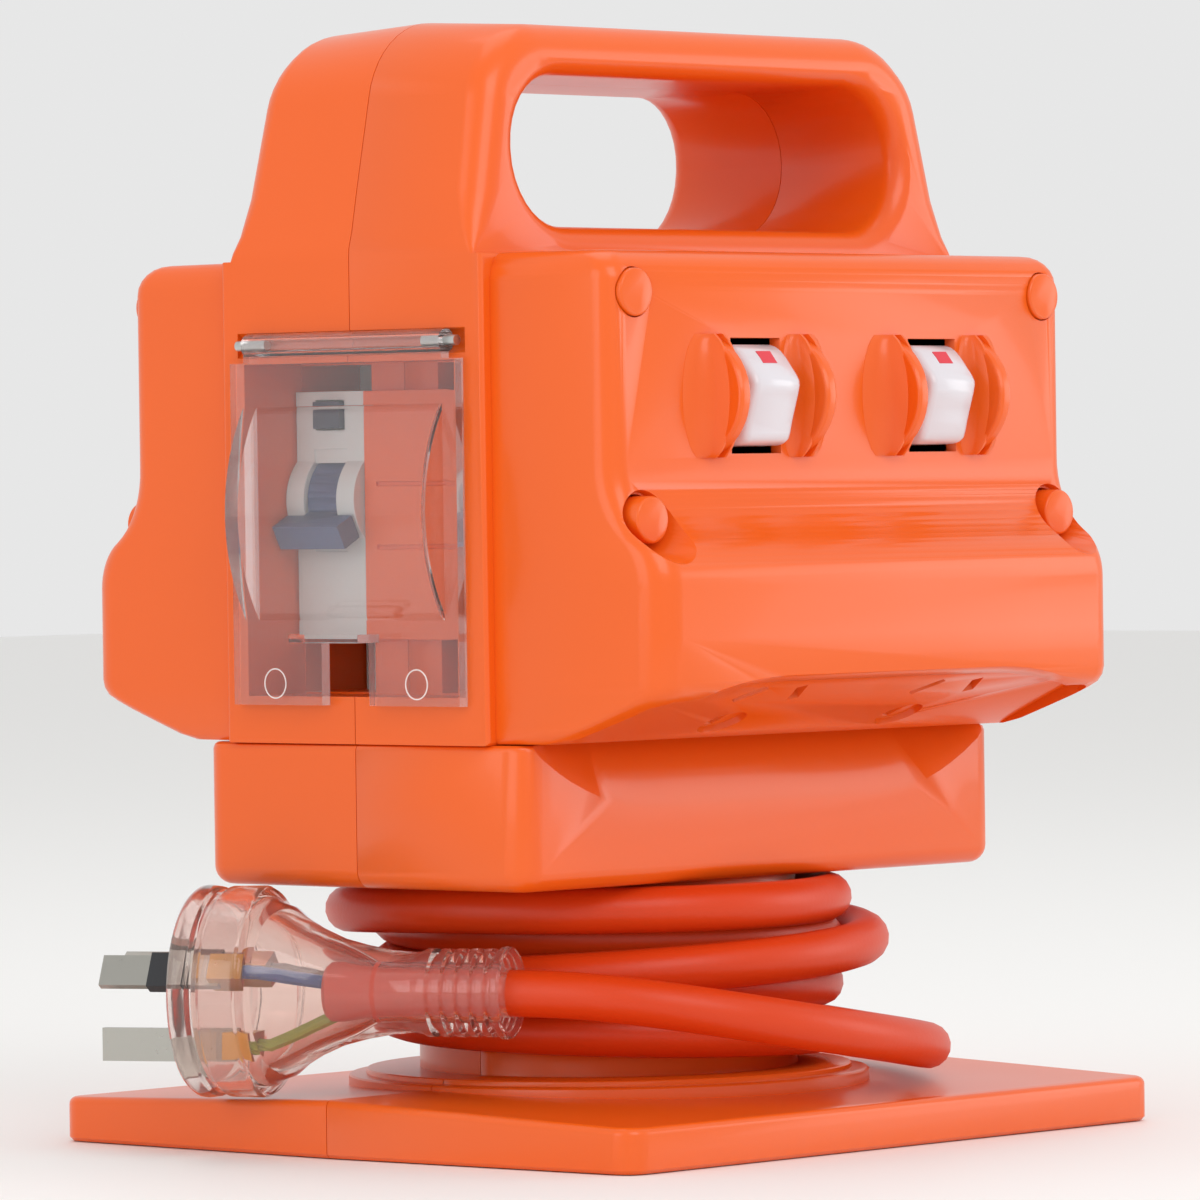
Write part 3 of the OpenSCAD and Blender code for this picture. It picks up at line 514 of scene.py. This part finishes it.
cut(cover, draw_out("floor_tool", [
    [(x, y, 70) for x, y in floor_plan], [(x, y, floor_z(y)) for x, y in floor_plan]]))
# The rim under the lip hangs lowest at both ends
lip_cut = []
for i in range(-16, 17):
    x = i * 4.0
    drop = 5.2 * max(0.0, (abs(x) - 30) / 32) ** 2
    lip_cut.append([(x, 70.8, 60), (x, 82, 60), (x, 82, floor_z(82) - drop),
                    (x, 70.8, floor_z(70.8) - drop)])
cut(cover, draw_out("lip_cut", lip_cut))
for x in (-SWITCH_X, SWITCH_X):
    cut(cover, box_tool((x - OPENING_X, 50, SWITCH_Z - OPENING_Z),
                        (x + OPENING_X, 70, SWITCH_Z + OPENING_Z)))
for x in (-CAP_X, CAP_X):
    cut(cover, rod_tool((x, 64, CAP_TOP_Z), 4.75, 5, sides=48))
    cut(cover, rod_tool((x, 72.4, CAP_LOW_Z), 5.2, 20, sides=48, end_radius=10.5))
    cut(cover, rod_tool((x, 60, CAP_LOW_Z), 4.8, 10, sides=48))


def on_floor(x, place, turn=0):
    """Where a point of an outlet lies on the slanted floor."""
    return (Matrix.Translation((x / 1000, OUTLET_Y / 1000, floor_z(OUTLET_Y) / 1000))
            @ Matrix.Rotation(FLOOR_TURN, 4, "X")
            @ Matrix.Translation((place[0] / 1000, place[1] / 1000, 0))
            @ Matrix.Rotation(math.radians(turn), 4, "Z"))


for x in (-SWITCH_X, SWITCH_X):
    dish = rod_tool((0, 0, 0), 5.0, 2.4, "Z", 40)
    dish.data.transform(on_floor(x, (0, -10.31)))
    cut(cover, dish)
    for px, py, turn in ((6.86, 3.96, 30), (-6.86, 3.96, -30), (0, -10.31, 0)):
        slot_tool = box_tool((-1.2, -3.6, -8), (1.2, 3.6, 8))
        slot_tool.data.transform(on_floor(x, (px, py), turn))
        cut(cover, slot_tool)

# A round guard fin on each side of each rocker, with a concave flare on both of its faces
fins = []
for x in (-SWITCH_X, SWITCH_X):
    for s in (-1, 1):
        edge = arc_points(FACE_Y - 2.7, SWITCH_Z, 11.3, range(-78, 79, 6))
        edge += [(FACE_Y - 1.2, SWITCH_Z + 11.0), (FACE_Y - 1.2, SWITCH_Z - 11.0)]
        fin_x = x + s * 12.4
        fins.append(draw_out("fin", [
            [(fin_x + t, p.x, p.y) for p in shrink(edge, [gap] * len(edge))] for t, gap in
            ((-1.6, 0.9), (-1.35, 0.35), (-0.8, 0), (0.8, 0), (1.35, 0.35), (1.6, 0.9))]))
        for t, reach in ((s, 7.0), (-s, 3.4)):
            rings = []
            for k in range(-10, 11):
                z = SWITCH_Z + k * 11.6 / 10
                bulge = math.sqrt(max(0.0, 1 - (k / 10.4) ** 2))
                b = reach * (0.25 + 0.75 * bulge)
                h = 5.6 * bulge + 0.3
                x0 = fin_x + t * 1.5
                flare = ((-0.6, -0.6), (b, -0.6), (b, 0.05), (b * 0.62, h * 0.10),
                         (b * 0.34, h * 0.28), (b * 0.14, h * 0.55), (0.02, h), (-0.6, h))
                rings.append([(x0 + t * out, FACE_Y + y, z) for out, y in flare])
            fins.append(draw_out("flare", rings))
rear_cover = weld([cover] + fins, "rear_cover_skin")
soften(rear_cover, 0.3, 2)
rear_cover.data.materials.clear()
rear_cover.data.materials.append(orange)
front_cover = mirrored_copy(rear_cover, "front_cover_skin")
for skin, cad in ((front_cover, "front_cover"), (rear_cover, "rear_cover")):
    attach(skin, "housing")
    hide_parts(cad)


# ---- Screw caps ----
# Round orange plugs pressed over the cover screws: flush discs above, short pegs below.
caps = []
for x in (-CAP_X, CAP_X):
    caps.append(rod_tool((x, 62.35, CAP_TOP_Z), 4.5, 2.7, sides=40))
    caps.append(rod_tool((x, 63.0, CAP_LOW_Z), 4.4, 8, sides=40))
rear_caps = weld(caps, "rear_caps")
soften(rear_caps, 0.5, 3)
rear_caps.data.materials.append(orange)
front_caps = mirrored_copy(rear_caps, "front_caps")
for skin, cad in ((front_caps, "front_screw_caps"), (rear_caps, "rear_screw_caps")):
    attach(skin, "housing")
    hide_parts(cad)


# ---- Rockers ----
# Glossy white nylon rockers with a red mark on the upper slope, turning on pins in black cases.
rocker_white = moulded("glossy_white_nylon", "#DFDBE0", 0.22, "#D9D4DA", 2.0, 0.05, 0.2)
mark_red = moulded("red_hot_stamped_foil", "#E23A48", 0.35, "#DA3242", 1.0, 0.1)
rocker_edge = [(54.8, 6.5), (59.3, 9.7), (62.2, 9.6), (63.4, 9.25), (64.5, 8.55), (65.8, 7.2),
               (67.3, 5.3), (68.4, 3.9), (69.0, 2.8), (69.1, 1.8), (68.7, 0.2), (67.9, -2.4),
               (67.1, -5), (66.6, -7), (66.1, -8.4), (65.2, -9.1), (64, -9.4), (62.2, -9.5),
               (59.3, -9.6), (54.8, -6.5)]
rocker_ends = ((-6.7, 1.6), (-6.5, 0.8), (-6.0, 0.3), (-5.2, 0), (5.2, 0), (6.0, 0.3),
               (6.5, 0.8), (6.7, 1.6))
mark_corners = ((-2.0, 64.9, 8.32), (2.0, 64.9, 8.32), (2.0, 66.7, 6.08), (-2.0, 66.7, 6.08))
for name, x, mirror in (("front_left", -SWITCH_X, True), ("front_right", SWITCH_X, True),
                        ("rear_left", SWITCH_X, False), ("rear_right", -SWITCH_X, False)):
    key = draw_out("rocker", [
        [(x + t, p.x, SWITCH_Z + p.y) for p in shrink(rocker_edge, [gap] * len(rocker_edge))]
        for t, gap in rocker_ends])
    soften(key, 0)
    key.data.materials.clear()
    key.data.materials.append(rocker_white)
    mark = draw_out("mark", [
        [(x + t, y + d * 0.77, SWITCH_Z + z + d * 0.64) for t, y, z in mark_corners]
        for d in (-0.2, 0.07)])
    mark.data.materials.clear()
    mark.data.materials.append(mark_red)
    for piece, label in ((key, "rocker_key_"), (mark, "rocker_mark_")):
        if mirror:
            piece.data.transform(Matrix.Scale(-1, 4, Vector((0, 1, 0))))
            piece.data.flip_normals()
        piece.name = label + name
        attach(piece, "rocker_" + name + "_body")
    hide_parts("rocker_" + name)


# ---- Breaker, toggle and lid ----
# A pale grey breaker module on its rail, with a slate blue toggle, behind a clear lid that
# turns on two steel stub pins. The empty places beside it have an orange blank.
def from_cad(node, name, width, angle=30):
    """A merged copy of a node's own shape with its sharp edges broken."""
    source = bpy.data.objects[node]
    made = source.copy()
    made.data = source.data.copy()
    made.name = name
    made.data.materials.clear()
    bpy.context.scene.collection.objects.link(made)
    bpy.ops.object.select_all(action="DESELECT")
    bpy.context.view_layer.objects.active = made
    made.select_set(True)
    bpy.ops.object.mode_set(mode="EDIT")
    bpy.ops.mesh.select_all(action="SELECT")
    bpy.ops.mesh.remove_doubles(threshold=0.00001)
    bpy.ops.mesh.dissolve_limited(angle_limit=math.radians(0.5))
    bpy.ops.object.mode_set(mode="OBJECT")
    soften(made, width, 2, angle)
    return made


breaker_grey = moulded("pale_grey_polyamide", "#D9E1DF", 0.42, "#D2DAD8", 1.5, 0.12)
toggle_blue = moulded("slate_blue_polyamide", "#54678E", 0.4, "#4D6086", 1.5, 0.12)
button_dark = moulded("dark_blue_polyamide", "#2C3B52", 0.4, "#283649", 1.5, 0.12)


def clear(name, code, rough, depth_mm, ripple, veil):
    """A clear moulding: tinted in its depth and very slightly rippled."""
    made, tree, shader = new_material(name)
    shader.inputs["Base Color"].default_value = linear(code)
    shader.inputs["Transmission Weight"].default_value = veil
    shader.inputs["Roughness"].default_value = rough
    # Lower than the real plastic's, so that what lies behind is seen nearly in its place
    shader.inputs["IOR"].default_value = 1.22
    shader.inputs["Coat Weight"].default_value = 0.7
    shader.inputs["Coat Roughness"].default_value = rough
    place = add_node(tree, "ShaderNodeTexCoord", {})
    wave = add_node(tree, "ShaderNodeTexNoise", {"Scale": 1000.0 / depth_mm, "Detail": 1.0},
                    [("Vector", place.outputs["Object"])])
    bump = add_node(tree, "ShaderNodeBump", {"Strength": ripple, "Distance": 0.0003},
                    [("Height", wave.outputs["Fac"])])
    tree.links.new(bump.outputs["Normal"], shader.inputs["Normal"])
    return made


clear_lid = clear("clear_polycarbonate", "#FCF8F8", 0.03, 9.0, 0.05, 0.965)
clear_pvc = clear("clear_soft_pvc", "#FAE6DF", 0.06, 4.0, 0.12, 0.95)

# For each: the node copied, name, edge width, crease angle, finish, body and slot
for node, name, width, crease, finish, body, slot in (
        ("breaker_case", "breaker_case_skin", 0.12, 31, breaker_grey, "housing", "breaker_grey"),
        ("breaker_toggle", "breaker_toggle_skin", 0.3, 31, toggle_blue, "toggle_body",
         "toggle_blue"),
        ("breaker_test_button", "test_button_skin", 0.15, 31, button_dark, "test_button_body",
         "dark_moulding"),
        ("blanking_plate", "blanking_plate_skin", 0.2, 31, orange, "housing", "orange_shell"),
        ("window_lid", "window_lid_skin", 0, 18, clear_lid, "lid_body", "clear_lid")):
    piece = from_cad(node, name, width, crease)
    piece.data.materials.append(finish)
    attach(piece, body)
    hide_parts(node)

# Two round marks that the moulding's ejector pins leave near the lid's lower corners
lid_marks = []
for y in (-0.0185, 0.0185):
    bpy.ops.object.select_all(action="DESELECT")
    bpy.ops.mesh.primitive_torus_add(major_radius=0.0028, minor_radius=0.00014, major_segments=40,
                                     minor_segments=8, location=(-0.0731, y, 0.0895),
                                     rotation=(0, math.pi / 2, 0))
    bpy.ops.object.transform_apply(location=True, rotation=True, scale=True)
    lid_marks.append(bpy.context.object)
lid_marks = weld(lid_marks, "lid_marks")
frosted = moulded("frosted_polycarbonate", "#F3E4DF", 0.4, "#EBDAD4", 1.0, 0.1)
lid_marks.data.materials.append(frosted)
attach(lid_marks, "lid_body")


# ---- The plug ----
# A clear rewirable plug: a round face with three nickel-plated pins, a shoulder that tapers to a
# ribbed neck, and the brass terminals and cores visible inside.
PLUG_AT = Vector((-0.0583, -0.0283, 0.031))
PLUG_TURN = math.radians(24)
PLUG_L = 62.8
to_plug = (Matrix.Translation(PLUG_AT) @ Matrix.Rotation(PLUG_TURN, 4, "Z")
           @ Matrix.Rotation(-math.pi / 2, 4, "X") @ Matrix.Translation((0, 0, PLUG_L / 1000)))


def turned_piece(name, profile, sides=64):
    """A turned shape from its radii and heights, closed at both ends."""
    rings = [[(r * math.cos(2 * math.pi * i / sides), r * math.sin(2 * math.pi * i / sides), z)
              for i in range(sides)] for r, z in profile]
    return draw_out(name, rings)


neck = [(7.6, -43.6), (7.9, -45.4)]
for i in range(5):
    z = -46.4 - i * 2.9
    neck += [(8.4, z), (8.4, z - 1.5), (7.3, z - 1.8), (7.3, z - 2.6)]
face = [(18.6, 0), (19.6, -0.4), (20.2, -1.2), (20.3, -2.2), (20.0, -4.2), (19.4, -4.9),
        (19.4, -6.2), (20.1, -7), (20.2, -13.2), (19.6, -14.2), (18.2, -14.7)]
shoulder = [(17.2, -15.6), (16.2, -18.6), (14.2, -21), (12.2, -24.4), (10.2, -29), (8.9, -34),
            (8.0, -39)]
collar = [(8.6, -61), (8.8, -61.4), (8.8, -62.4), (8.4, -62.8)]
plug = turned_piece("plug_skin", face + shoulder + neck + collar)
inside = turned_piece("plug_inside", [
    (17.4, -4.6), (17.4, -12.6), (13.6, -14.8), (11.2, -20), (8.8, -25), (6.8, -31), (4.7, -36),
    (4.62, -44), (4.62, -64)])
plug.data.transform(to_plug)
inside.data.transform(to_plug)
cut(plug, inside)
soften(plug, 0.15, 2)
plug.data.materials.append(clear_pvc)
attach(plug, "housing")
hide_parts("plug_body")

# The sheath's end, moulded into the plug's neck and swelling towards the cores
sheath_end = turned_piece("plug_sheath_end", [
    (4.0, -46), (4.6, -44), (4.6, -38), (4.9, -34), (5.6, -29.5), (5.6, -27), (5.0, -26.2),
    (3.0, -26)])
sheath_end.data.transform(to_plug)
soften(sheath_end, 0)
sheath_end.data.materials.clear()
sheath_end.data.materials.append(sheath)
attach(sheath_end, "housing")


# ---- Finishes on the pieces that keep their own shape ----
# Plated pins and screws, brass contacts, coloured cores and dark or pale inner mouldings.
def metal(name, code, rough, brush_mm):
    """A metal with a fine scuff in its gloss."""
    made, tree, shader = new_material(name)
    shader.inputs["Base Color"].default_value = linear(code)
    shader.inputs["Metallic"].default_value = 1.0
    place = add_node(tree, "ShaderNodeTexCoord", {})
    scuff = add_node(tree, "ShaderNodeTexNoise", {"Scale": 1000.0 / brush_mm, "Detail": 4.0},
                     [("Vector", place.outputs["Object"])])
    gloss = add_node(tree, "ShaderNodeMapRange", {"To Min": rough * 0.7, "To Max": rough * 1.4},
                     [("Value", scuff.outputs["Fac"])])
    tree.links.new(gloss.outputs["Result"], shader.inputs["Roughness"])
    return made


nickel = metal("nickel_plated_brass", "#A9A7A0", 0.3, 1.2)
brass = metal("stamped_brass", "#D2A556", 0.3, 1.0)
zinc = metal("zinc_plated_steel", "#C4C6C4", 0.35, 1.0)
black_moulding = moulded("black_phenolic", "#2B2D31", 0.5, "#242629", 1.2, 0.2)
pale_moulding = moulded("white_urea_moulding", "#EFEDE6", 0.45, "#E8E6DF", 1.2, 0.15)
core_brown = moulded("brown_pvc_core", "#6B4226", 0.4, "#5F3A20", 1.0, 0.1)
core_blue = moulded("blue_pvc_core", "#2C5AA8", 0.4, "#27509A", 1.0, 0.1)
core_green = moulded("green_yellow_pvc_core", "#4FA63C", 0.4, "#C9C93A", 1.0, 0.1)
finishes = {
    zinc: ("shell_screws", "front_cover_screws", "rear_cover_screws", "din_rail", "lid_hinge_pin"),
    brass: ("front_contacts", "rear_contacts", "breaker_terminals", "earth_bar", "plug_terminals"),
    nickel: ("plug_pin_active", "plug_pin_neutral", "plug_pin_earth"),
    black_moulding: ("switch_case_front_left", "switch_case_front_right", "switch_case_rear_left",
                     "switch_case_rear_right", "cord_gland", "cord_clamp", "plug_sleeve_active",
                     "plug_sleeve_neutral"),
    pale_moulding: ("front_socket_carrier", "rear_socket_carrier"),
    core_brown: ("wire_brown", "plug_wire_brown"),
    core_blue: ("wire_blue", "plug_wire_blue"),
    core_green: ("wire_green", "plug_wire_green"),
}
for finish, nodes in finishes.items():
    for name in nodes:
        item = bpy.data.objects[name]
        item.data.materials.clear()
        item.data.materials.append(finish)


# ---- Floor and light ----
# A flat pale floor and an even white sky, with large soft lights in front, on both sides and
# above.
bpy.ops.object.select_all(action="DESELECT")
bpy.ops.mesh.primitive_plane_add(size=8.0, location=(0, 0, -0.0002))
floor = bpy.context.object
floor.name = "floor"
floor_white, _, floor_shader = new_material("pale_floor")
floor_shader.inputs["Base Color"].default_value = linear("#F4F3F1")
floor_shader.inputs["Roughness"].default_value = 0.6
floor.data.materials.append(floor_white)

world = bpy.data.worlds.new("studio")
world.use_nodes = True
world.node_tree.nodes["Background"].inputs["Color"].default_value = (1.0, 1.0, 1.0, 1.0)
world.node_tree.nodes["Background"].inputs["Strength"].default_value = 0.8
bpy.context.scene.world = world
bpy.context.scene.view_settings.view_transform = "Standard"


def softbox(name, place, aim, size, power):
    """A square soft light aimed at a point."""
    lamp = bpy.data.lights.new(name, "AREA")
    lamp.shape = "SQUARE"
    lamp.size = size
    lamp.energy = power
    made = bpy.data.objects.new(name, lamp)
    bpy.context.scene.collection.objects.link(made)
    turn = (Vector(aim) - Vector(place)).to_track_quat("-Z", "Y").to_matrix().to_4x4()
    made.matrix_world = Matrix.Translation(Vector(place)) @ turn


softbox("key", (-0.5, -1.3, 1.1), (0, 0, 0.1), 0.9, 7)
softbox("side", (-1.4, 0.1, 0.5), (0, 0, 0.1), 0.8, 3.2)
softbox("right_side", (1.2, -0.9, 0.4), (0, 0, 0.1), 0.7, 3.2)
softbox("top", (0.2, 0.3, 1.6), (0, 0, 0.1), 1.0, 3)
